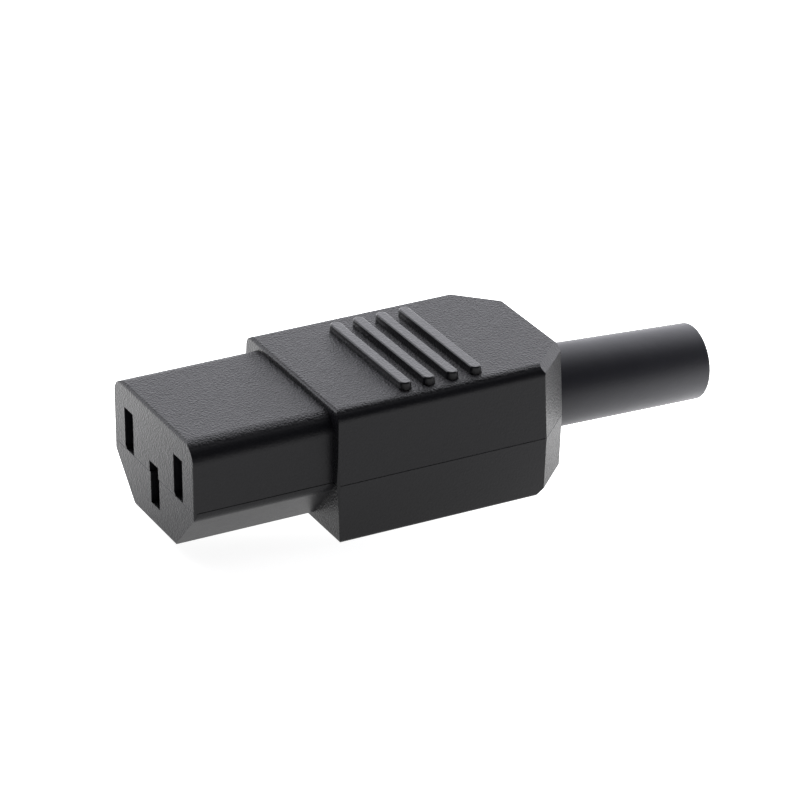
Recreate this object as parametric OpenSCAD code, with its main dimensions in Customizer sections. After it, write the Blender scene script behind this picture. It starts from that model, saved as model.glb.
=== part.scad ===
// Rewireable C13 power connector: two moulded half shells, three folded brass contacts with
// screw terminals, a cord clamp and a soft cord sleeve.
// Origin: the centre of the engagement face, midway in height between the line and neutral
// row and the earth contact. +X points to the cord, +Z is up, and +Y is the line side.

/* [Contact layout] */
// Distance between the line and neutral contacts
pin_pitch = 14; // [12:0.1:17]
// Height of the line and neutral row above the earth contact
earth_drop = 4; // [3.2:0.1:5]
// Thickness of an inlet pin
pin_t = 2; // [1.6:0.1:2.4]
// Width of an inlet pin, which stands upright
pin_h = 4; // [3.2:0.1:4.8]
// Width of an aperture in the engagement face
aperture_w = 2.5; // [2.4:0.1:3]
// Height of an aperture in the engagement face
aperture_h = 5.5; // [4.8:0.1:6.6]
// Small cut corner at the foot of the line and neutral apertures
aperture_cut = 0.45; // [0.1:0.05:0.7]
// Sideways mismatch of the two mould halves at the earth aperture
mould_mismatch = 0.25; // [0:0.05:0.4]

/* [Nose] */
// Width of the nose at the parting plane
nose_w = 23; // [21:0.1:28]
// Length of the nose, from the engagement face to the body
nose_len = 18; // [16:0.5:24]
// Height of the nose above the parting plane
nose_rise = 8.55; // [8:0.05:11]
// Depth of the nose below the parting plane
nose_drop = 6.7; // [6.2:0.1:8.5]
// Depth of the upright wall between the parting plane and the keying chamfer
key_wall = 0.8; // [0.4:0.1:1.6]
// Radius of the two top corners
nose_corner = 2.6; // [1:0.1:3]
// Radius where the upright wall turns into the keying chamfer
key_r = 1.5; // [0.4:0.1:1.7]
// Thickness of the wall that the apertures pass through
front_wall = 2; // [1.5:0.1:3]

/* [Body] */
// Width of the body at the parting plane
body_w = 25.7; // [24:0.1:32]
// Length of the body, without nose and sleeve
body_len = 33.2; // [31:0.2:44]
// Height of the body above the parting plane
body_rise = 9.45; // [9:0.05:12]
// Depth of the body below the parting plane
body_drop = 7.75; // [7.4:0.05:10]
// Radius of the long top edges
shoulder_r = 1.5; // [0.5:0.1:3]
// Size of the two bevelled rear corners
rear_bevel = 5; // [2:0.5:6]
// Small bevel between each rear corner and the top or bottom face
rim_bevel = 0.9; // [0.3:0.1:1.5]
// Wall of the wiring chamber
wall = 1.8; // [1.2:0.1:2.2]
// Thickness of the bulkhead between nose and wiring chamber
bulkhead = 2; // [1.5:0.1:3]

/* [Moulding] */
// Draft of the moulded side faces, in degrees
draft = 1.9; // [0.5:0.1:2.5]
// Rounding of the outer edges
edge_r = 0.45; // [0.2:0.05:0.8]
// Tiny bevel along the parting line, half of the visible seam
seam = 0.05; // [0.02:0.01:0.2]

/* [Grip ribs] */
// Number of raised ribs across the top
rib_count = 4; // [2:1:6]
// Distance from rib to rib
rib_pitch = 3.15; // [2.4:0.05:4]
// Width of a rib at its foot
rib_w = 1.6; // [1.2:0.1:2]
// Length of a rib, with its round ends
rib_len = 19.8; // [12:0.1:21]
// Height of a rib
rib_h = 1; // [0.4:0.05:1.3]
// Offset of the ribs toward the neutral side
rib_offset = 0.9; // [0:0.1:1.2]

/* [Contacts] */
// Thickness of the brass strip
strip_t = 0.7; // [0.5:0.1:0.9]
// Gap at the throat of the two spring leaves, less than the pin
throat = 1.6; // [1.2:0.1:1.9]
// Length of the terminal tab
tab_len = 6.2; // [6:0.1:8]
// Width of the terminal tab
tab_w = 5.6; // [5:0.1:6.6]

/* [Screws] */
// Thread diameter of a terminal screw
terminal_d = 3; // [2.5:0.1:3.6]
// Head diameter of a terminal screw
terminal_head_d = 5.2; // [4.5:0.1:6.2]
// Thread diameter of the case and clamp screws
case_d = 2.9; // [2.4:0.1:3.5]
// Head diameter of the case and clamp screws
case_head_d = 5.2; // [4.8:0.1:6.3]

/* [Cord] */
// Largest cord diameter, which is the bore of the sleeve
cord_d = 7.8; // [6:0.1:8.2]
// Sleeve diameter where it leaves the body
sleeve_root_d = 10.55; // [9.6:0.05:12.7]
// Sleeve diameter at its free end
sleeve_end_d = 9.75; // [9.4:0.05:12]
// Length of the sleeve outside the body
sleeve_len = 23.2; // [15:0.1:30]
// Droop of the soft sleeve under its own weight, in degrees
sleeve_droop = 2.7; // [0:0.1:4]
// Width of the cord clamp along the cord
clamp_w = 4.8; // [4:0.1:6]

/* [Clearances] */
// Gap around a contact in its channel
contact_gap = 0.2; // [0.1:0.05:0.3]
// Gap around the sleeve in its seat
sleeve_gap = 0.15; // [0.1:0.05:0.3]
// Gap between a screw and its hole, with the thread taken as a plain shank
thread_gap = 0.05; // [0.02:0.01:0.1]
// Gap around the tongues and pegs that line the shells up
lip_gap = 0.1; // [0.05:0.05:0.2]

/* [Hidden] */
$fn = 64;
eps = 0.01;

// Heights: the parting plane lies at the foot of the line and neutral apertures
row_z = earth_drop / 2;
part_z = row_z - aperture_h / 2;
earth_z = -earth_drop / 2;
line_y = pin_pitch / 2;
inner_y = body_w / 2 - wall;
wall_gap = 0.3;
tab_y = min(line_y, inner_y - tab_w / 2 - wall_gap);
roof_z = part_z + body_rise - wall;
floor_z = part_z - body_drop + wall;

// Lengths, from the engagement face to the rear
body_x = nose_len;
end_x = body_x + body_len;
chamber_x = body_x + bulkhead;
finger_t = 1.2;
row_x = chamber_x + finger_t + contact_gap + tab_len / 2;
tab_gap = 1.4;
earth_x = row_x + tab_len + tab_gap;
end_wall = 2.05;
flange_t = 1.9;
collar_wall = 2.6;
collar_x = end_x - end_wall - flange_t - sleeve_gap - collar_wall;
clamp_x = collar_x - 1.8 - clamp_w / 2;

// Contacts: the roof of the socket lies above the pin, and its tab carries the screw
roof_gap = 0.3;
channel_w = pin_t + 2.2;
socket_w = channel_w - 2 * contact_gap;
leaf_x = front_wall + 2 * contact_gap;
throat_x = leaf_x + 2.4;
box_x = throat_x + 4.2;
box_len = 6;
collar_h = 0.9;
collar_d = terminal_d + 1.4;

// Screws
head_h = 2;
washer_t = 0.7;
terminal_reach = 3.7;
case_head_h = 1.6;
head_gap = 0.3;
recess_gap = 0.3;
recess_r = case_head_d / 2 + recess_gap;
recess_wall = 1.4;
case_boss_wall = 0.6;
case_y = body_w / 2 - recess_wall - recess_r;
case_room = max(clamp_w / 2 + 0.7, case_head_d / 2 + head_gap);
case_x = clamp_x - case_room - recess_r - case_boss_wall;
case_grip = 3;
case_reach = 6.2;
clamp_boss_r = 2.4;
clamp_y = inner_y - head_gap - case_head_d / 2;
clamp_drop = 2;
clamp_t = 2;
clamp_reach = 6;

// Cord way
cord_r = cord_d / 2;
cord_way_gap = 0.3;
saddle_w = cord_d + 3.2;
ridge_h = 0.4;
ridge_w = 0.5;
neck_step = 0.25;
neck_inside = 0.5;
root_gap = sleeve_root_d / 2 * sin(sleeve_droop) + 0.05;
neck_r = sleeve_root_d / 2 - 0.35;
flange_r = sleeve_root_d / 2 + 1.2;

// Barriers and ribs inside the chamber
barrier_t = 1;
barrier_y = (tab_y - tab_w / 2 + channel_w / 2) / 2;
tongue_t = 0.7;
tongue_h = 1.2;
peg_d = 1.4;
peg_h = 1.6;
peg_x = nose_len - 4;
finger_w = 2.4;
earth_finger_x = row_x;
rib_sink = 0.2;
rib_draft = 7;
rib_edge_r = 0.2;
rib_mid_x = body_x + body_len / 2 - 1.5;

// ---- Outlines ----------------------------------------------------------------------------

// Rounding of corner b between its neighbours a and c: start, centre and end of the arc
function arc_points(a, b, c, r) =
  let (
    u = (a - b) / norm(a - b),
    v = (c - b) / norm(c - b),
    half = acos(u * v) / 2,
    middle = (u + v) / norm(u + v)
  )
  [b + u * r / tan(half), b + middle * r / sin(half), b + v * r / tan(half)];

// Twice the signed area of an outline, which is positive where it runs counter-clockwise
function signed_area(points) =
  let (n = len(points), parts = [for (i = [0:n - 1]) cross(points[i], points[(i + 1) % n])])
  parts * [for (part = parts) 1];

// A flat outline whose corner i is rounded to radii[i] by a true arc, or left sharp where that
// is 0. Each arc is the piece of a circle between its chord and its corner. It is added where
// the outline turns outward, and taken away where it turns inward.
module rounded(points, radii) {
  n = len(points);
  way = sign(signed_area(points));
  arcs = [for (i = [0:n - 1])
    let (a = points[(i + n - 1) % n], b = points[i], c = points[(i + 1) % n])
    radii[i] > 0 ? [arc_points(a, b, c, radii[i]), way * cross(b - a, c - b) > 0] : []];
  module pieces(outward) {
    for (i = [0:n - 1])
      if (radii[i] > 0 && arcs[i][1] == outward)
        intersection() {
          polygon([arcs[i][0][0], points[i], arcs[i][0][2]]);
          translate(arcs[i][0][1]) circle(r = radii[i]);
        }
  }
  difference() {
    union() {
      polygon([for (i = [0:n - 1]) each radii[i] > 0 ? [arcs[i][0][0], arcs[i][0][2]] : [points[i]]]);
      pieces(true);
    }
    pieces(false);
  }
}

// A rectangle between two opposite corners, with its own radius at each corner
module rounded_box(low, high, radii) {
  rounded([low, [high[0], low[1]], high, [low[0], high[1]]], radii);
}

// Section of one moulded half: a flat foot at height 0, leaning sides and round top edges.
// The foot has the small bevel that shows as the seam.
module half_section(low, high, height, r) {
  lean = height * tan(draft);
  rounded(
    [[low + seam, 0], [high - seam, 0], [high, seam], [high - lean, height],
     [low + lean, height], [low, seam]],
    [0, 0, 0, r, r, 0]
  );
}

// Cross-section of the lower half of the nose, with its two keying chamfers
module key_section() {
  w = nose_w / 2;
  flat = w - (nose_drop - key_wall);
  rounded(
    [[-w + seam, 0], [w - seam, 0], [w, seam], [w, key_wall], [flat, nose_drop],
     [-flat, nose_drop], [-w, key_wall], [-w, seam]],
    [0, 0, 0, key_r, edge_r, edge_r, key_r, 0]
  );
}

// Plan of the body from a given front, drawn in by an inset, with its bevelled rear corners
function plan(front, inset) =
  let (
    w = body_w / 2 - inset,
    shift = inset * tan(22.5),
    back = end_x - inset,
    start = end_x - rear_bevel - shift,
    narrow = body_w / 2 - rear_bevel - shift
  )
  [[front, -w], [start, -w], [back, -narrow], [back, narrow], [start, w], [front, w]];

// ---- Building helpers --------------------------------------------------------------------

// Extrude a section drawn in y and z along x
module along_x(from, to) {
  translate([from, 0, 0]) rotate([90, 0, 90]) linear_extrude(height = to - from) children();
}

// Extrude a section drawn in x and z along y, to both sides
module along_y(width) {
  rotate([90, 0, 0]) linear_extrude(height = width, center = true) children();
}

// A box from two opposite corners
module block(a, b) {
  translate(a) cube(b - a);
}

// The same thing on the line side and on the neutral side
module both_sides() {
  children();
  mirror([0, 1, 0]) children();
}

module upright(x, y, from, to, r) {
  translate([x, y, from]) cylinder(h = to - from, r = r);
}

// ---- Outer form --------------------------------------------------------------------------
// Each half is drawn standing on the parting plane, as the solid that several crossed
// sections have in common. Each section leans by the draft and rounds the edges it sees.

// Section that rounds the front edges of two faces that lie as far apart as given
module front_round(distance, reach) {
  rounded_box([0, -distance], [reach, distance], [edge_r, 0, 0, edge_r]);
}

// Section along the nose: the foot bevel and the rounded edge of the engagement face
module nose_profile(height, reach) {
  rounded([[seam, 0], [reach, 0], [reach, height], [0, height], [0, seam]], [0, 0, 0, edge_r, 0]);
}

module upper_nose(reach) {
  w = nose_w / 2;
  intersection() {
    along_x(0, reach) half_section(-w, w, nose_rise, nose_corner);
    along_y(nose_w) nose_profile(nose_rise, reach);
    linear_extrude(height = nose_rise) front_round(w, reach);
  }
}

module lower_nose(reach) {
  w = nose_w / 2;
  key_face = (w + key_wall) / sqrt(2);
  intersection() {
    along_x(0, reach) key_section();
    along_y(nose_w) nose_profile(nose_drop, reach);
    linear_extrude(height = nose_drop) front_round(w, reach);
    for (turn = [-45, 45]) rotate([turn, 0, 0]) along_y(4 * w) front_round(key_face, reach);
  }
}

// Section across a rear corner: drafted, with the small bevel under its rim
function corner_section(height) =
  let (
    face = (end_x + body_w / 2 - rear_bevel) / sqrt(2),
    lean = height * tan(draft)
  )
  [[0, 0], [face - seam, 0], [face, seam], [face - lean, height - rim_bevel],
   [face - lean - rim_bevel, height], [0, height]];

module body_half(height, long_edge_r) {
  w = body_w / 2;
  intersection() {
    linear_extrude(height = height) rounded(plan(body_x, 0), [for (i = [0:5]) edge_r]);
    along_y(body_w) half_section(body_x, end_x, height, edge_r);
    along_x(body_x, end_x) half_section(-w, w, height, long_edge_r);
    rotate([0, 0, 45]) along_y(4 * end_x) polygon(corner_section(height));
    rotate([0, 0, -45]) along_y(4 * end_x) polygon(corner_section(height));
  }
}

// ---- Shapes shared by both shells --------------------------------------------------------

// Bores of the cord way and the seat of the sleeve, turned about the cord's axis
module sleeve_seat() {
  groove_end = end_x - end_wall;
  groove_start = groove_end - flange_t - sleeve_gap;
  translate([0, 0, part_z])
    rotate([0, 90, 0])
      rotate_extrude()
        polygon([
          [0, collar_x - 1], [cord_r + cord_way_gap, collar_x - 1],
          [cord_r + cord_way_gap, groove_start], [flange_r + sleeve_gap, groove_start],
          [flange_r + sleeve_gap, groove_end], [neck_r + sleeve_gap, groove_end],
          [neck_r + sleeve_gap, end_x + 1], [0, end_x + 1]
        ]);
}

// Plan of the wiring chamber, from its front wall to the rear wall
module chamber_plan() {
  polygon(plan(chamber_x, wall));
}

// Block that stays standing at the rear of the chamber and holds the sleeve
module sleeve_collar(from, to) {
  half = flange_r + sleeve_gap + 1;
  block([collar_x, -half, from], [end_x, half, to]);
}

// The channel of one contact through the nose, between two heights
module channel(y, from, to) {
  block([front_wall, y - channel_w / 2, from], [chamber_x + eps, y + channel_w / 2, to]);
}

// An aperture in the engagement face, between two heights
module aperture(y, from, to) {
  block([-1, y - aperture_w / 2, from], [front_wall + eps, y + aperture_w / 2, to]);
}

// Ridges and grooves that grip the cord, cut around its axis
module cord_bite() {
  translate([clamp_x, 0, part_z])
    rotate([0, 90, 0]) {
      cylinder(h = clamp_w + 2, r = cord_r - ridge_h, center = true);
      for (i = [-1:1])
        translate([0, 0, i * clamp_w / 3])
          cylinder(h = clamp_w / 3 - ridge_w, r = cord_r, center = true);
    }
}

// ---- Shells ------------------------------------------------------------------------------

// Height of the underside of a contact's roof strip
function strip_z(z) = z + pin_h / 2 + roof_gap;

// Empty space of the upper shell: the chamber less everything that stands in it
module upper_void() {
  top = roof_z;
  difference() {
    translate([0, 0, part_z - 1]) linear_extrude(height = top - part_z + 1) chamber_plan();
    sleeve_collar(part_z - 2, top + 1);
    // Pads that the terminal tabs rest on
    both_sides() tab_pad(row_x, tab_y, strip_z(row_z) + strip_t, top + 1);
    tab_pad(earth_x, 0, strip_z(earth_z) + strip_t, top + 1);
    both_sides() {
      barrier(part_z - 2, top + 1);
      upright(case_x, case_y, part_z - 2, top + 1, recess_r + case_boss_wall);
      upright(clamp_x, clamp_y, part_z - 2, top + 1, clamp_boss_r);
    }
    // Saddle above the cord
    block([clamp_x - clamp_w / 2, -saddle_w / 2, part_z + 1],
          [clamp_x + clamp_w / 2, saddle_w / 2, top + 1]);
  }
}

module tab_pad(x, y, from, to) {
  block([x - tab_len / 2, y - tab_w / 2, from], [x + tab_len / 2, y + tab_w / 2, to]);
}

// Insulating barrier between the earth strip and a line or neutral terminal
module barrier(from, to) {
  block([chamber_x - eps, barrier_y - barrier_t / 2, from],
        [earth_x - tab_len / 2 - 0.4, barrier_y + barrier_t / 2, to]);
}

// Pocket for the pressed collar of a tab, and the blind hole for the end of its screw
module tab_pocket(x, y, z) {
  seat = strip_z(z) + strip_t;
  upright(x, y, seat - eps, seat + collar_h + 0.1, collar_d / 2 + 0.15);
  upright(x, y, seat, strip_z(z) - washer_t + terminal_reach + 0.3, terminal_d / 2 + 0.1);
}

// Half of a rib's section, from its middle outward, sunk a little into the top face
module rib_section() {
  half = rib_w / 2;
  rounded(
    [[0, -rib_sink], [half, -rib_sink], [half, 0], [half - rib_h * tan(rib_draft), rib_h], [0, rib_h]],
    [0, 0, 0, rib_edge_r, 0]
  );
}

// One raised rib with round ends and softened top edges
module grip_rib(x) {
  straight = (rib_len - rib_w) / 2;
  translate([x, -rib_offset, part_z + body_rise]) {
    both_sides() translate([0, straight, 0]) rotate_extrude() rib_section();
    for (side = [0, 1]) mirror([side, 0, 0]) along_y(2 * straight) rib_section();
  }
}

module upper_shell() {
  color("#2f3033")
    difference() {
      union() {
        difference() {
          translate([0, 0, part_z]) {
            upper_nose(body_x + bulkhead / 2);
            body_half(body_rise, shoulder_r);
          }
          upper_void();
        }
        both_sides() upright(clamp_x, clamp_y, part_z - clamp_drop, part_z + 1, clamp_boss_r);
        for (i = [0:rib_count - 1]) grip_rib(rib_mid_x + (i - (rib_count - 1) / 2) * rib_pitch);
      }
      // Contact channels and apertures
      both_sides() channel(line_y, part_z - 1, strip_z(row_z) + strip_t + contact_gap);
      for (y = [-line_y, line_y])
        difference() {
          aperture(y, part_z - 1, row_z + aperture_h / 2);
          translate([-1.5, y + aperture_w / 2, part_z])
            rotate([90, 0, 90])
              linear_extrude(height = front_wall + 3)
                polygon([[-aperture_cut, 0], [0.5, aperture_cut + 0.5], [0.5, -2], [-aperture_cut, -2]]);
        }
      channel(0, part_z - 1, strip_z(earth_z) + strip_t + contact_gap);
      aperture(0, part_z - 1, earth_z + aperture_h / 2);
      // Terminals
      both_sides() tab_pocket(row_x, tab_y, row_z);
      tab_pocket(earth_x, 0, earth_z);
      // Screws, cord and sleeve
      both_sides() {
        upright(case_x, case_y, part_z - 1, part_z + case_reach + 0.3, case_d / 2 + thread_gap);
        upright(clamp_x, clamp_y, part_z - clamp_drop - 1, part_z - clamp_drop + clamp_reach + 0.3,
                case_d / 2 + thread_gap);
        tongue(lip_gap);
        upright(peg_x, line_y / 2, part_z - 1, part_z + peg_h + 0.2, peg_d / 2 + lip_gap);
      }
      cord_bite();
      sleeve_seat();
    }
}

// Tongue along the inside of a side wall, or the groove for it when drawn with a gap
module tongue(gap) {
  block([chamber_x + 1 - gap, inner_y - gap, part_z - 1],
        [end_x - rear_bevel - wall + gap, inner_y + tongue_t + gap, part_z + tongue_h + gap]);
}

// Empty space of the lower shell
module lower_void() {
  difference() {
    translate([0, 0, floor_z]) linear_extrude(height = part_z - floor_z + 1) chamber_plan();
    sleeve_collar(floor_z - 1, part_z + 2);
    both_sides() {
      barrier(floor_z - 1, part_z - lip_gap);
      upright(case_x, case_y, floor_z - 1, part_z + 2, recess_r + case_boss_wall);
      block([chamber_x - 1, line_y - finger_w / 2, floor_z - 1],
            [chamber_x + finger_t, line_y + finger_w / 2, part_z + 2]);
    }
    block([earth_finger_x, -finger_w / 2, floor_z - 1],
          [earth_finger_x + finger_t, finger_w / 2, part_z + 2]);
  }
}

module lower_shell() {
  bottom = part_z - body_drop;
  color("#2a2b2e")
    difference() {
      union() {
        difference() {
          translate([0, 0, part_z])
            mirror([0, 0, 1]) {
              lower_nose(body_x + bulkhead / 2);
              body_half(body_drop, edge_r);
            }
          lower_void();
        }
        both_sides() {
          intersection() {
            tongue(0);
            block([0, 0, part_z - 0.5], [end_x, body_w, part_z + 5]);
          }
          upright(peg_x, line_y / 2, part_z - 0.5, part_z + peg_h, peg_d / 2);
          // Fingers that hold the line and neutral strips up in the upper shell
          block([chamber_x, line_y - finger_w / 2, part_z - 0.5],
                [chamber_x + finger_t, line_y + finger_w / 2, strip_z(row_z) - 0.1]);
        }
        block([earth_finger_x, -finger_w / 2, part_z - 0.5],
              [earth_finger_x + finger_t, finger_w / 2, strip_z(earth_z) - 0.1]);
      }
      channel(0, earth_z - aperture_h / 2, part_z + 1);
      translate([0, -mould_mismatch, 0]) aperture(0, earth_z - aperture_h / 2, part_z + 1);
      // Case screws: a recess from below and a clear hole above it
      both_sides() {
        upright(case_x, case_y, bottom - 1, part_z - case_grip, recess_r);
        upright(case_x, case_y, bottom - 1, part_z + 1, case_d / 2 + 0.2);
      }
      sleeve_seat();
    }
}

// ---- Contacts ----------------------------------------------------------------------------

// Outline of one spring leaf, seen from above: straight in the box, then in to the throat
// and out again as a lead-in for the pin
module leaf_outline() {
  side = socket_w / 2 - strip_t;
  neck = throat / 2;
  mouth = side - 0.1;
  back = box_x + box_len;
  inner_r = 1;
  outer_r = inner_r + strip_t;
  rounded(
    [[back, side], [box_x, side], [throat_x, neck], [leaf_x, mouth],
     [leaf_x, mouth + strip_t], [throat_x, neck + strip_t],
     [box_x, side + strip_t], [back, side + strip_t]],
    [0, inner_r, outer_r, 0, 0, inner_r, outer_r, 0]
  );
}

// One folded contact: spring socket, neck and terminal tab with a pressed, tapped collar.
// The tab lies at distance x behind the face and is shifted sideways from the socket.
module contact(y, z, x, shift) {
  foot = z - aperture_h / 2 + contact_gap;
  under = strip_z(z);
  top = under + strip_t;
  back = box_x + box_len;
  neck_w = socket_w - 1;
  color("#c9a24b")
    translate([0, y, 0])
      difference() {
        union() {
          both_sides() translate([0, 0, foot]) linear_extrude(height = top - foot) leaf_outline();
          block([box_x, -socket_w / 2, under], [back, socket_w / 2, top]);
          block([box_x, -neck_w / 2, under], [x, neck_w / 2, top]);
          translate([x, shift, under])
            linear_extrude(height = strip_t)
              rounded_box([-tab_len / 2, -tab_w / 2], [tab_len / 2, tab_w / 2], [0.8, 0.5, 0.5, 0.8]);
          upright(x, shift, top - eps, top + collar_h, collar_d / 2);
        }
        upright(x, shift, under - 1, top + collar_h + 1, terminal_d / 2 + thread_gap);
      }
}

module line_contact() { contact(line_y, row_z, row_x, tab_y - line_y); }

module neutral_contact() { contact(-line_y, row_z, row_x, line_y - tab_y); }

module earth_contact() { contact(0, earth_z, earth_x, 0); }

// ---- Screws and washers ------------------------------------------------------------------

// Pan head screw, head down and shank up, with the seat of its head at height 0
module pan_screw(head_d, head_height, shank_d, reach) {
  r = head_d / 2;
  color("#b9bcc0")
    difference() {
      rotate_extrude()
        rounded(
          [[0, reach], [shank_d / 2 - 0.4, reach], [shank_d / 2, reach - 0.5], [shank_d / 2, 0],
           [r, 0], [r, -head_height], [0, -head_height]],
          [0, 0, 0, 0, 0, head_height * 0.6, 0]
        );
      // Cross recess
      for (turn = [0, 90])
        rotate([0, 0, turn])
          block([-head_d * 0.3, -head_d * 0.08, -head_height - 1],
                [head_d * 0.3, head_d * 0.08, -head_height * 0.4]);
    }
}

module terminal_screw(x, y, z) {
  translate([x, y, strip_z(z) - washer_t]) pan_screw(terminal_head_d, head_h, terminal_d, terminal_reach);
}

module line_terminal_screw() { terminal_screw(row_x, tab_y, row_z); }

module neutral_terminal_screw() { terminal_screw(row_x, -tab_y, row_z); }

module earth_terminal_screw() { terminal_screw(earth_x, 0, earth_z); }

// Square pressure washer that clamps the bare wire under the screw's head
module wire_washer(x, y, z) {
  half = tab_w / 2 - 0.1;
  color("#b08d3c")
    translate([x, y, strip_z(z) - washer_t])
      difference() {
        linear_extrude(height = washer_t)
          rounded_box([-half, -half], [half, half], [0.6, 0.6, 0.6, 0.6]);
        upright(0, 0, -1, washer_t + 1, terminal_d / 2 + 0.15);
      }
}

module line_wire_washer() { wire_washer(row_x, tab_y, row_z); }

module neutral_wire_washer() { wire_washer(row_x, -tab_y, row_z); }

module earth_wire_washer() { wire_washer(earth_x, 0, earth_z); }

module case_screw(side) {
  translate([case_x, side * case_y, part_z - case_grip])
    pan_screw(case_head_d, case_head_h, case_d, case_grip + case_reach);
}

module case_screw_line_side() { case_screw(1); }

module case_screw_neutral_side() { case_screw(-1); }

// ---- Cord clamp and sleeve ---------------------------------------------------------------

// Bar across the cord, screwed up against the two bosses of the upper shell
module cord_clamp() {
  top = part_z - clamp_drop;
  half = inner_y - 0.5;
  knee = clamp_y - case_head_d / 2 - 0.3;
  belly = part_z - cord_r - 1.5;
  color("#3a3a3c")
    difference() {
      along_x(clamp_x - clamp_w / 2, clamp_x + clamp_w / 2)
        rounded(
          [[-half, top], [-half, top - clamp_t], [-knee, top - clamp_t], [-knee + 0.8, belly],
           [knee - 0.8, belly], [knee, top - clamp_t], [half, top - clamp_t], [half, top]],
          [0.4, 0.4, 0.3, 0.6, 0.6, 0.3, 0.4, 0.4]
        );
      cord_bite();
      both_sides() upright(clamp_x, clamp_y, top - clamp_t - 1, top + 1, case_d / 2 + 0.2);
    }
}

module clamp_screw(side) {
  translate([clamp_x, side * clamp_y, part_z - clamp_drop - clamp_t])
    pan_screw(case_head_d, case_head_h, case_d, clamp_t + clamp_reach);
}

module cord_clamp_screw_line_side() { clamp_screw(1); }

module cord_clamp_screw_neutral_side() { clamp_screw(-1); }

// Soft sleeve: a flange and neck held in the seat, and a slender cone that droops from them.
// The cone stands off the rear face by its root gap, so that it can droop without touching.
module cord_sleeve() {
  root_r = sleeve_root_d / 2;
  tip_r = sleeve_end_d / 2;
  flange_end = end_x - end_wall;
  flange_start = flange_end - flange_t;
  neck_end = end_x + root_gap + 0.5;
  color("#26282d")
    difference() {
      union() {
        translate([0, 0, part_z])
          rotate([0, 90, 0])
            rotate_extrude()
              polygon([[0, flange_start], [flange_r, flange_start], [flange_r, flange_end],
                       [neck_r, flange_end], [neck_r, neck_end], [0, neck_end]]);
        droop()
          rotate_extrude()
            rounded(
              [[0, root_gap], [root_r, root_gap], [tip_r, sleeve_len], [0, sleeve_len]],
              [0, 0.15, 0.3, 0]
            );
      }
      translate([flange_start - 1, 0, part_z])
        rotate([0, 90, 0]) cylinder(h = end_x - neck_inside - flange_start + 1, r = cord_r + neck_step);
      droop() translate([0, 0, -2 * neck_inside]) cylinder(h = sleeve_len + 2, r = cord_r);
    }
}

// Place a shape that is turned about z so that it leaves the body along the drooping axis
module droop() {
  translate([end_x, 0, part_z]) rotate([0, 90 + sleeve_droop, 0]) children();
}

// ---- Assembly ----------------------------------------------------------------------------

upper_shell();
lower_shell();
line_contact();
neutral_contact();
earth_contact();
line_terminal_screw();
neutral_terminal_screw();
earth_terminal_screw();
line_wire_washer();
neutral_wire_washer();
earth_wire_washer();
cord_clamp();
cord_clamp_screw_line_side();
cord_clamp_screw_neutral_side();
case_screw_line_side();
case_screw_neutral_side();
cord_sleeve();
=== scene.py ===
# %% [markdown]
# # A rewireable C13 power connector
# This is the connector that plugs into the back of a computer, a server or a rack power
# strip, of the kind that is fitted to a cord with a screwdriver. Two black mouldings meet
# along a flat joint. Three folded brass contacts sit in channels through the nose, each
# with a screw terminal behind it. A bar clamps the cord, a soft sleeve guards it where it
# leaves, and two screws from below hold the mouldings together.
#
# The packed CAD model comes in as a fixed frame, and its mouldings and contacts keep
# their meshes and get real finishes. The pieces that Blender can draw better, which are
# the threaded screws and the soft sleeve, are made here and stand in for the CAD ones.

# %% Load the frame
import math

import bpy
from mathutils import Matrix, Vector


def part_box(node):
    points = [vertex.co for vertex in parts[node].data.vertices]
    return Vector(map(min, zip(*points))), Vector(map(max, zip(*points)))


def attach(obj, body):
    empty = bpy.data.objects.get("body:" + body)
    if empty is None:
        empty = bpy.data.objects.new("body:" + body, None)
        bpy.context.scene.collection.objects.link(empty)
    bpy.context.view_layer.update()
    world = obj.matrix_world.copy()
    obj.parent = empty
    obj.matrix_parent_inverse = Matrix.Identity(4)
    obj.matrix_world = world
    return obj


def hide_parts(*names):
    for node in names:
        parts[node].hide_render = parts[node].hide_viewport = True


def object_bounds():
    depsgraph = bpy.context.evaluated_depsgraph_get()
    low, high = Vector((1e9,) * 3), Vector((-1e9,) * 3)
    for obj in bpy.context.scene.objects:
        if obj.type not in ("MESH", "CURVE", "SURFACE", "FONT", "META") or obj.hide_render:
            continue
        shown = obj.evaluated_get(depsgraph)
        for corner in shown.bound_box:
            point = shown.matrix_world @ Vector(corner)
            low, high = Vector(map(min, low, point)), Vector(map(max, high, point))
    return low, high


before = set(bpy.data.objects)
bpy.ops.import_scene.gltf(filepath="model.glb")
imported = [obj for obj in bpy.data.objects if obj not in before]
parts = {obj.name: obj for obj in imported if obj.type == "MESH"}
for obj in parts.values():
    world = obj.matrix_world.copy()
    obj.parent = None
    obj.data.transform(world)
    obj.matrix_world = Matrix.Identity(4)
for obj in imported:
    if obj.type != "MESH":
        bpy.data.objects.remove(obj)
cad_low, cad_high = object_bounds()
size_mm = [round(1000 * side, 2) for side in cad_high - cad_low]
print("parts in the frame:", len(parts))
print("the connector measures", size_mm, "mm")

# %% [markdown]
# ## The camera
# A long lens from well back keeps parallel edges nearly parallel, as in a catalogue
# picture. The camera stands to the left of the line side, so the engagement face with its
# three apertures shows, and about 26 degrees up, so the ribbed top shows as well. It aims
# a little beside the middle of the object, which leaves the sleeve inside the frame.

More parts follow.
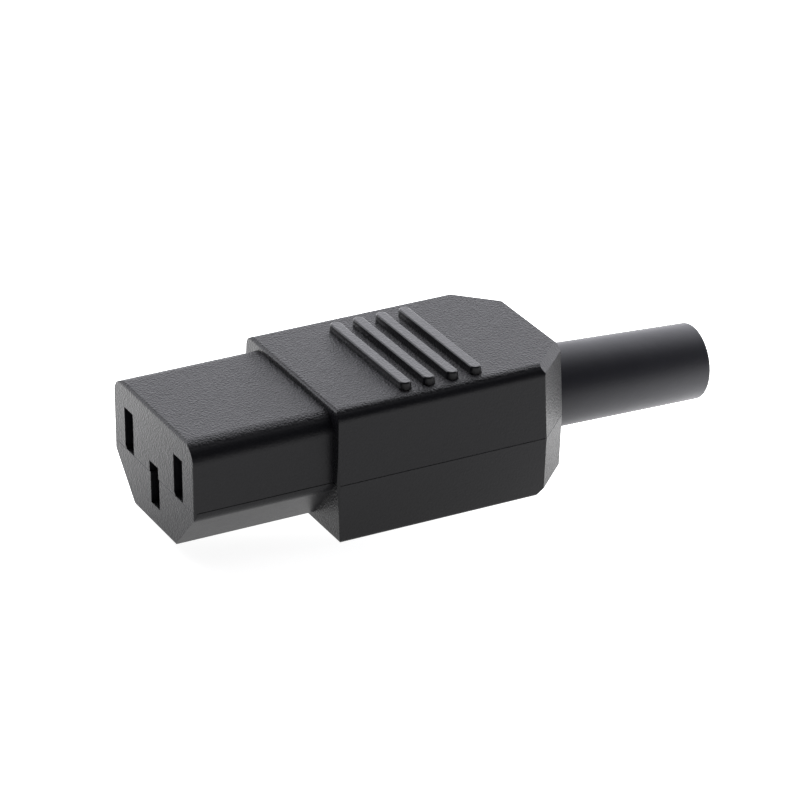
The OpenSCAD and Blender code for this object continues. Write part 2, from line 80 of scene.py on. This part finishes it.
# %% Place the camera
MM = 0.001
scene = bpy.context.scene
middle = (cad_low + cad_high) / 2
aim = Vector((35.4 * MM, 4.76 * MM, -0.75 * MM))
azimuth = math.radians(-27.52)
elevation = math.radians(25.75)
distance = 496.3 * MM
backward = Vector((
    math.sin(azimuth) * math.cos(elevation),
    -math.cos(azimuth) * math.cos(elevation),
    math.sin(elevation),
))
camera = bpy.data.objects.new("camera", bpy.data.cameras.new("camera"))
camera.data.sensor_width = 36
camera.data.lens = 181.2
camera.data.clip_start = 0.01
camera.data.clip_end = 50
camera.location = aim + distance * backward
camera.rotation_euler = (-backward).to_track_quat("-Z", "Y").to_euler()
scene.collection.objects.link(camera)
scene.camera = camera
print("camera stands", round(distance / MM), "mm away")

# %% [markdown]
# ## A small language for node trees
# A node tree drawn by hand is a web of wires. Written in Python, the same tree can read
# like arithmetic. `Wire` wraps one output socket and overloads the operators, so
# `1 - mask` adds a Math node and gives back its output. `Tree.add` makes any other node:
# it takes the node's type, then its settings, then what goes into its sockets. The same
# two classes serve materials, the world and Geometry Nodes.

# %% Wires and trees
class Wire:
    """One output socket, with ordinary arithmetic."""

    def __init__(self, tree, socket):
        self.tree = tree
        self.socket = socket

    def maths(self, operation, *values):
        return self.tree.maths(operation, *values)

    def __add__(self, other):
        return self.maths("ADD", self, other)

    def __sub__(self, other):
        return self.maths("SUBTRACT", self, other)

    def __rsub__(self, other):
        return self.maths("SUBTRACT", other, self)

    def __mul__(self, other):
        return self.maths("MULTIPLY", self, other)

    def __truediv__(self, other):
        return self.maths("DIVIDE", self, other)

    def __rtruediv__(self, other):
        return self.maths("DIVIDE", other, self)

    def __pow__(self, other):
        return self.maths("POWER", self, other)

    def __neg__(self):
        return self * -1

    def __abs__(self):
        return self.maths("ABSOLUTE", self)

    def __gt__(self, other):
        return self.maths("GREATER_THAN", self, other)

    def __lt__(self, other):
        return self.maths("LESS_THAN", self, other)

    __radd__ = __add__
    __rmul__ = __mul__


class Tree:
    """A node tree, with one method that adds any node to it."""

    def __init__(self, tree):
        self.tree = tree

    def add(self, kind, settings=None, sockets=None, out=0):
        node = self.tree.nodes.new(kind)
        for name, value in (settings or {}).items():
            if name == "stops":
                self.set_stops(node.color_ramp, value)
            else:
                setattr(node, name, value)
        for name, value in (sockets or {}).items():
            self.feed(node.inputs[name], value)
        return Wire(self, node.outputs[out]) if node.outputs else node

    def feed(self, socket, value):
        for single in value if isinstance(value, list) else [value]:
            if isinstance(single, Wire):
                self.tree.links.new(single.socket, socket)
            else:
                socket.default_value = single

    def maths(self, operation, *values):
        return self.add("ShaderNodeMath", {"operation": operation}, dict(enumerate(values)))

    def split(self, vector):
        node = self.add("ShaderNodeSeparateXYZ", {}, {0: vector}).socket.node
        return [Wire(self, node.outputs[axis]) for axis in "XYZ"]

    def join(self, x, y, z):
        return self.add("ShaderNodeCombineXYZ", {}, {0: x, 1: y, 2: z})

    def step(self, value, low, high):
        """0 below low, 1 above high, and a smooth rise between them."""
        sockets = {"Value": value, "From Min": low, "From Max": high}
        return self.add("ShaderNodeMapRange", {"interpolation_type": "SMOOTHSTEP"}, sockets)

    def set_stops(self, ramp, stops):
        while len(ramp.elements) < len(stops):
            ramp.elements.new(1)
        for element, (position, grey) in zip(ramp.elements, stops):
            element.position = position
            element.color = (grey, grey, grey, 1)


print("operators that make nodes: + - * / ** < > abs")

# %% [markdown]
# ## One class for every finish
# Each finish on the connector is one Principled shader with a few patterns on it. The
# patterns read Object coordinates, which are metres on the real thing, so a grain of 0.3 mm
# is written as that and stays the same size on every piece.

# %% A finish
class Finish(Tree):
    """A material with one Principled shader, and the patterns that the finishes share."""

    def __init__(self, name, **constants):
        self.material = bpy.data.materials.new(name)
        self.material.use_nodes = True
        super().__init__(self.material.node_tree)
        self.shader = self.tree.nodes["Principled BSDF"]
        self.place = self.add("ShaderNodeTexCoord", out="Object")
        self.paint(**constants)

    def paint(self, **values):
        for name, value in values.items():
            self.feed(self.shader.inputs[name.replace("_", " ")], value)

    def noise(self, grain, detail=2, rough=0.5, at=None):
        """Cloudy noise from 0 to 1, whose lumps are about one grain across."""
        sockets = {
            "Vector": at or self.place, "Scale": 1 / grain, "Detail": detail, "Roughness": rough
        }
        return self.add("ShaderNodeTexNoise", {}, sockets)

    def cells(self, grain):
        """Round soft cells from 0 at their middle to about 1, one grain across."""
        settings = {"feature": "SMOOTH_F1"}
        sockets = {"Vector": self.place, "Scale": 1 / grain, "Smoothness": 0.5}
        return self.add("ShaderNodeTexVoronoi", settings, sockets, out="Distance")

    def stretch(self, x, y, z):
        """Object coordinates divided along each axis, for patterns with a direction."""
        sockets = {"Vector": self.place, "Scale": (x, y, z)}
        return self.add("ShaderNodeMapping", {}, sockets)

    def bump(self, height, depth, under=None):
        sockets = {"Strength": 1, "Distance": depth, "Height": height}
        if under:
            sockets["Normal"] = under
        return self.add("ShaderNodeBump", {}, sockets)


print("a finish has:", [name for name in vars(Finish) if not name.startswith("_")])

# %% [markdown]
# ## The studio
# A black moulding shows almost nothing of its own colour. What the eye reads is what it
# reflects, so the room is drawn with care and the plastic stays simple. The floor is a
# light table: it glows a little by itself and so leaves only a faint shadow. The world is
# bright overhead and behind the object and dim on the camera's side, which gives pale top
# faces, grey side faces and a dark band where a rounded edge turns from one to the other.

# %% Lay the floor
FLOOR_SIDE = 6
floor_z = cad_low.z - 0.02 * MM
corners = [(-1, -1), (1, -1), (1, 1), (-1, 1)]
floor_mesh = bpy.data.meshes.new("floor")
floor_mesh.from_pydata(
    [(x * FLOOR_SIDE / 2, y * FLOOR_SIDE / 2, floor_z) for x, y in corners], [], [(0, 1, 2, 3)]
)
floor = bpy.data.objects.new("floor", floor_mesh)
scene.collection.objects.link(floor)

GLOW_NEAR, GLOW_FAR = 0.93, 2.9
table_top = Finish(
    "light_table", Base_Color=(0.35, 0.35, 0.35, 1), Roughness=0.9, Specular_IOR_Level=0,
    Emission_Strength=1,
)
along_x, along_y, _ = table_top.split(table_top.place)
depth = 0.46 * along_x + 0.89 * along_y
table_glow = GLOW_NEAR + (GLOW_FAR - GLOW_NEAR) * table_top.step(depth, -5 * MM, 40 * MM)
table_top.paint(Emission_Color=table_glow)
floor_mesh.materials.append(table_top.material)
print("floor at", round(floor_z / MM, 2), "mm")

# %% Light the room
DIM, OVERHEAD, BRIGHT = 0.02, 0.5, 2.95
world = bpy.data.worlds.new("studio")
world.use_nodes = True
scene.world = world
sky = Tree(world.node_tree)
direction = sky.add("ShaderNodeTexCoord", out="Generated")
x, y, z = sky.split(direction)
behind = sky.step(0.9 * y + 0.44 * x, 0.05, 0.6)
above = sky.step(z, 0.75, 0.95)
glow = sky.maths("MAXIMUM", DIM + (BRIGHT - DIM) * behind, OVERHEAD * above)
seen = sky.add("ShaderNodeLightPath", out="Is Camera Ray")
BACKDROP = 1.05
sky.feed(sky.tree.nodes["Background"].inputs["Strength"], glow * (1 - seen) + BACKDROP * seen)
sky.feed(sky.tree.nodes["Background"].inputs["Color"], (0.98, 0.98, 1.04, 1))

softbox = bpy.data.lights.new("softbox", "AREA")
softbox.shape = "RECTANGLE"
softbox.size, softbox.size_y = 0.5, 0.35
softbox.energy = 0.2
softbox_object = bpy.data.objects.new("softbox", softbox)
softbox_object.location = middle + Vector((0.02, 0.1, 0.6))
softbox_object.rotation_euler = (middle - softbox_object.location).to_track_quat("-Z", "Y").to_euler()
softbox_object.visible_camera = False
scene.collection.objects.link(softbox_object)
scene.view_settings.view_transform = "Standard"

# %% [markdown]
# ## Spark-eroded plastic
# The mould for these shells is cut with sparks, which leaves it covered with tiny round
# craters, and the plastic comes out with the same skin. On faces square to the mould's
# opening it is coarse and sparkles. The side walls slide out along the mould, so they are
# finer and darker. The skin is drawn as bump from round cells, and a mask made from the way
# a face points fades it out on the sides and on top of the polished ribs.

# %% Shell plastic
shell_low, shell_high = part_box("upper_shell")
RIB_RISE = 1 * MM
CRATER = 0.25 * MM
top_z = shell_high.z - RIB_RISE
plastic = Finish("shell_plastic", Base_Color=(0.0038, 0.0038, 0.0054, 1), IOR=1.36)
facing = plastic.add("ShaderNodeTexCoord", out="Normal")
normal_x, normal_y, normal_z = plastic.split(facing)
_, _, place_z = plastic.split(plastic.place)
on_rib = plastic.step(place_z, top_z + 0.3 * MM, top_z + 0.6 * MM)
upward = plastic.step(normal_z, 0.75, 0.95)
forward = plastic.step(-normal_x, 0.75, 0.95)
rearward = plastic.step(normal_x - 0.3 * normal_y, 0.6, 0.8)
off_rib = 1 - 0.85 * on_rib
coarse = upward * off_rib
craters = plastic.cells(CRATER) + 0.8 * plastic.noise(CRATER, 2, 0.6)
relief = 0.16 + coarse + (0.45 * forward + 0.5 * rearward) * off_rib
skin = plastic.bump(craters * relief, 0.09 * MM)
uneven = plastic.noise(1.6 * MM, 3, 0.6)
plastic.paint(Normal=skin, Roughness=0.37 + 0.09 * coarse + 0.06 * uneven - 0.1 * on_rib)
print("grain", round(CRATER / MM, 2), "mm on faces above", round(top_z / MM, 2), "mm or square to it")

# %% [markdown]
# ## Soft PVC
# The sleeve is a softer plastic with a satin, slightly blue surface. Its skin is smooth, but
# flexible PVC shrinks unevenly as it cools, which leaves very shallow waves.

# %% Sleeve PVC
pvc = Finish("sleeve_pvc", Base_Color=(0.011, 0.011, 0.016, 1), IOR=1.42)
waves = pvc.noise(2.4 * MM, 2, 0.5)
skin = pvc.bump(waves, 0.03 * MM, pvc.bump(pvc.noise(0.3 * MM, 2), 0.008 * MM))
pvc.paint(Normal=skin, Roughness=0.46 + 0.05 * waves)
print("finish:", pvc.material.name)

# %% [markdown]
# ## The metals inside
# The contacts are folded from rolled brass strip, so their grain runs along the connector.
# The washers are stamped from duller strip. The screws are steel with a zinc coat, which is
# bright but never quite even.

# %% Brass, steel and the clamp's plastic
STREAK, STREAK_LENGTH = 0.08 * MM, 4 * MM
brass = Finish("contact_brass", Base_Color=(0.70, 0.49, 0.21, 1), Metallic=1)
rolled = brass.noise(1, 2, 0.6, brass.stretch(1 / STREAK_LENGTH, 1 / STREAK, 1 / STREAK))
brass.paint(Roughness=0.22 + 0.16 * rolled, Normal=brass.bump(rolled, 0.002 * MM))

washer = Finish("washer_brass", Base_Color=(0.58, 0.45, 0.22, 1), Metallic=1)
washer.paint(Roughness=0.34 + 0.14 * washer.noise(0.5 * MM, 3))

zinc = Finish("screw_steel", Base_Color=(0.64, 0.65, 0.66, 1), Metallic=1)
cloud = zinc.noise(0.7 * MM, 3)
zinc.paint(Roughness=0.24 + 0.16 * cloud, Normal=zinc.bump(zinc.noise(0.12 * MM, 2), 0.002 * MM))

clamp = Finish("clamp_plastic", Base_Color=(0.012, 0.012, 0.013, 1), IOR=1.45)
clamp.paint(Roughness=0.5, Normal=clamp.bump(clamp.cells(CRATER), 0.02 * MM))
print("metals:", [finish.material.name for finish in (brass, washer, zinc)])

# %% [markdown]
# ## Turned shapes by Geometry Nodes
# A screw and the sleeve are both lathe work: an outline turned round an axis. `Turned` builds
# that as a node tree. The outline's corners go on a line of points, which becomes a curve,
# and Fillet Curve rounds the corners. A flat grid is then wrapped round the axis, and each
# of its rows takes its radius and height from one point of the curve. The sizes are inputs
# of the tree, so seven screws of two kinds come from one tree.

# %% A tree for turned shapes
class Turned(Tree):
    """Geometry Nodes that turn outlines round the z axis, with named sizes."""

    AROUND = 64

    def __init__(self, name, **sizes):
        group = bpy.data.node_groups.new(name, "GeometryNodeTree")
        super().__init__(group)
        self.identifiers = {}
        for size, value in sizes.items():
            socket = group.interface.new_socket(size, in_out="INPUT", socket_type="NodeSocketFloat")
            socket.default_value = value
            self.identifiers[size] = socket.identifier
        group.interface.new_socket("Shape", in_out="OUTPUT", socket_type="NodeSocketGeometry")
        self.entry = group.nodes.new("NodeGroupInput")

    def size(self, name):
        return Wire(self, self.entry.outputs[name])

    def pick(self, values, kind):
        """One of several values, chosen by the point's index."""
        node = self.add("GeometryNodeIndexSwitch", {"data_type": kind}).socket.node
        while len(node.index_switch_items) < len(values):
            node.index_switch_items.new()
        index = self.add("GeometryNodeInputIndex")
        self.feed(node.inputs[0], index)
        for place, value in enumerate(values):
            self.feed(node.inputs[place + 1], value)
        return Wire(self, node.outputs[0])

    def outline(self, corners):
        """A curve through (radius, height, rounding) corners."""
        line = self.add("GeometryNodeMeshLine", {}, {"Count": len(corners)})
        spots = self.pick([self.join(radius, height, 0) for radius, height, _ in corners], "VECTOR")
        line = self.add("GeometryNodeSetPosition", {}, {"Geometry": line, "Position": spots})
        curve = self.add("GeometryNodeMeshToCurve", {}, {"Mesh": line})
        rounding = self.pick([float(corner[2]) for corner in corners], "FLOAT")
        return self.add(
            "GeometryNodeFilletCurve", {"mode": "POLY"},
            {"Curve": curve, "Count": 5, "Radius": rounding, "Limit Radius": True},
        )

    def wrap(self, rows, radius_and_height):
        """A grid wrapped round the axis. Turn and rise run from 0 to 1 over it."""
        sizes = {"Size X": 1, "Size Y": 1, "Vertices X": self.AROUND + 1, "Vertices Y": rows}
        grid = self.add("GeometryNodeMeshGrid", {}, sizes)
        x, y, _ = self.split(self.add("GeometryNodeInputPosition"))
        turn, rise = x + 0.5, y + 0.5
        radius, height = radius_and_height(turn, rise)
        angle = turn * math.tau
        place = self.join(
            radius * self.maths("COSINE", angle), radius * self.maths("SINE", angle), height
        )
        return self.add("GeometryNodeSetPosition", {}, {"Geometry": grid, "Position": place})

    def turn_outline(self, corners):
        curve = self.outline(corners)
        rows = self.add(
            "GeometryNodeAttributeDomainSize", {"component": "CURVE"}, {"Geometry": curve},
            out="Point Count",
        )

        def from_curve(_, rise):
            row = self.maths("ROUND", rise * (rows - 1))
            spot = self.add("GeometryNodeInputPosition")
            settings = {"data_type": "FLOAT_VECTOR", "domain": "POINT"}
            sockets = {"Geometry": curve, "Value": spot, "Index": row}
            radius, height, _ = self.split(
                self.add("GeometryNodeSampleIndex", settings, sockets)
            )
            return radius, height

        return self.wrap(rows, from_curve)

    def weld(self, pieces):
        joined = self.add("GeometryNodeJoinGeometry", {}, {"Geometry": pieces})
        return self.add("GeometryNodeMergeByDistance", {}, {"Geometry": joined, "Distance": 1e-6})

    def close(self, shape, finish):
        """End the tree: real geometry, with its material."""
        shape = self.add("GeometryNodeRealizeInstances", {}, {"Geometry": shape})
        shape = self.add(
            "GeometryNodeSetMaterial", {}, {"Geometry": shape, "Material": finish.material}
        )
        self.feed(self.tree.nodes.new("NodeGroupOutput").inputs[0], shape)

    def make(self, name, finish, **sizes):
        """One plain mesh object, from the tree at the given sizes."""
        holder = bpy.data.objects.new(name, bpy.data.meshes.new(name))
        scene.collection.objects.link(holder)
        modifier = holder.modifiers.new("turned", "NODES")
        modifier.node_group = self.tree
        for size, value in sizes.items():
            modifier[self.identifiers[size]] = value
        depsgraph = bpy.context.evaluated_depsgraph_get()
        mesh = bpy.data.meshes.new_from_object(holder.evaluated_get(depsgraph))
        holder.modifiers.remove(modifier)
        holder.data = mesh
        if not mesh.materials:
            mesh.materials.append(finish.material)
        mesh.shade_smooth()
        mesh.set_sharp_from_angle(angle=math.radians(35))
        return holder


print("turned shapes have", Turned.AROUND, "sides")

# %% [markdown]
# ## Screws with real threads
# The CAD screws have plain shanks, because a thread would only slow the checks. Here each
# gets a helical thread that stays inside the plain shank: the grid's radius dips by a
# triangle wave that climbs one pitch for each turn, and fades out at both ends so that the
# thread meets the head and the tip without a gap. A cross is cut into the head.

# %% The screw's tree
TIP, TIP_STEP = 0.5 * MM, 0.4 * MM
screw = Turned(
    "pan_head_screw", head=5.2 * MM, rise=2 * MM, shank=3 * MM, reach=4 * MM, pitch=0.5 * MM
)
head_r, shank_r = screw.size("head") / 2, screw.size("shank") / 2
rise, reach, pitch = screw.size("rise"), screw.size("reach"), screw.size("pitch")
thread_length = reach - TIP
ROWS_OF_THREAD = 190


def thread(turn, along):
    groove = abs(screw.maths("FRACT", turn + along * thread_length / pitch) - 0.5) * 2
    fade = screw.step(along, 0.01, 0.1) * (1 - screw.step(along, 0.93, 0.99))
    return shank_r - 0.55 * pitch * groove * fade, along * thread_length


HEAD_ROUNDING = 1.2 * MM
screw_head = screw.turn_outline([
    (0.0, -rise, 0), (head_r, -rise, HEAD_ROUNDING), (head_r, 0.0, 0), (shank_r, 0.0, 0),
])
screw_tip = screw.turn_outline([
    (shank_r, thread_length, 0), (shank_r - TIP_STEP, reach, 0), (0.0, reach, 0),
])
body = screw.weld([screw_head, screw.wrap(ROWS_OF_THREAD, thread), screw_tip])
arms = []
for long_x, long_y in ((0.6, 0.16), (0.16, 0.6)):
    arm = screw.add(
        "GeometryNodeMeshCube", {},
        {"Size": screw.join(2 * head_r * long_x, 2 * head_r * long_y, 1.2 * rise)},
    )
    arms.append(screw.add(
        "GeometryNodeTransform", {}, {"Geometry": arm, "Translation": screw.join(0.0, 0.0, -rise)}
    ))
cut = screw.add(
    "GeometryNodeMeshBoolean", {"operation": "DIFFERENCE", "solver": "EXACT"},
    {"Mesh 1": body, "Mesh 2": arms},
)
screw.close(cut, zinc)
print("the screw's sizes:", list(screw.identifiers))

# %% Put the screws in their places
HEAD_OF_TERMINAL, HEAD_OF_CASE = 2 * MM, 1.6 * MM
PITCH_OF_TERMINAL, PITCH_OF_CASE = 0.5 * MM, 0.9 * MM
for name in sorted(parts):
    if not name.endswith("screw") and "_screw_" not in name:
        continue
    low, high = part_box(name)
    terminal = name.endswith("terminal_screw")
    head_rise = HEAD_OF_TERMINAL if terminal else HEAD_OF_CASE
    piece = screw.make(
        name + "_threaded", zinc, head=high.x - low.x, rise=head_rise,
        shank=(3 if terminal else 2.9) * MM, reach=high.z - low.z - head_rise,
        pitch=PITCH_OF_TERMINAL if terminal else PITCH_OF_CASE,
    )
    seat = Vector(((low.x + high.x) / 2, (low.y + high.y) / 2, low.z + head_rise))
    for vertex in piece.data.vertices:
        vertex.co += seat
    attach(piece, "root")
    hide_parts(name)
    print(piece.name, "has", len(piece.data.polygons), "faces")

# %% [markdown]
# ## The soft sleeve
# The sleeve is one moulding: a flange held in a groove of the shells, a short neck through
# the rear wall, and a slender cone with a hole down the middle. It is turned straight, and
# then bent by moving its points: behind the rear wall each ring swings down by the angle
# that soft PVC takes under its own weight.

# %% Turn the sleeve
sleeve_low, sleeve_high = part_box("cord_sleeve")
rear = shell_high.x
joint_z = sleeve_high.z - 6.475 * MM
sleeve = Turned(
    "soft_sleeve", length=23.2 * MM, root=5.275 * MM, tip=4.875 * MM, bore=3.9 * MM,
    neck=4.925 * MM, flange=6.475 * MM, flange_end=-2.05 * MM, flange_wide=1.9 * MM,
    droop=math.radians(2.7),
)
length, root, tip = sleeve.size("length"), sleeve.size("root"), sleeve.size("tip")
bore, neck, flange = sleeve.size("bore"), sleeve.size("neck"), sleeve.size("flange")
flange_end, droop = sleeve.size("flange_end"), sleeve.size("droop")
flange_start = flange_end - sleeve.size("flange_wide")
GAP, SOFT, RIM = 0.3 * MM, 0.15 * MM, 0.35 * MM
turned = sleeve.turn_outline([
    (bore, 0.0, 0), (bore, flange_start, 0), (flange, flange_start, SOFT), (flange, flange_end, SOFT),
    (neck, flange_end, 0), (neck, GAP, 0), (root, GAP, SOFT), (tip, length, RIM), (bore, length, RIM),
    (bore, 0.0, 0),
])
x, y, z = sleeve.split(sleeve.add("GeometryNodeInputPosition"))
swing = -1 * droop * sleeve.step(z, 0.0, 1 * MM)
sine, cosine = sleeve.maths("SINE", swing), sleeve.maths("COSINE", swing)
bent = sleeve.join(z * cosine - x * sine, y, z * sine + x * cosine)
hanging = sleeve.add(
    "GeometryNodeSetPosition", {}, {"Geometry": sleeve.weld([turned]), "Position": bent}
)
sleeve.close(hanging, pvc)
soft_sleeve = sleeve.make("soft_sleeve", pvc)
for vertex in soft_sleeve.data.vertices:
    vertex.co += Vector((rear, 0, joint_z))
soft_sleeve.data.flip_normals()
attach(soft_sleeve, "root")
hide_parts("cord_sleeve")
print("sleeve reaches", round(1000 * max(v.co.x for v in soft_sleeve.data.vertices), 2), "mm")

# %% [markdown]
# ## Finishes for the CAD parts
# The shells, contacts, washers and clamp already have the right shape, so they stay as they
# are. Only the material in each slot changes, by the name that the model gave it.

# %% Give the CAD parts their finishes
finish_of = {
    "shell_plastic": plastic, "clamp_plastic": clamp, "sleeve_pvc": pvc,
    "contact_brass": brass, "washer_brass": washer, "screw_steel": zinc,
}
for part in parts.values():
    for place in part.material_slots:
        place.material = finish_of[place.material.name.split(".")[0]].material
print("finishes:", sorted(finish_of))

# %% [markdown]
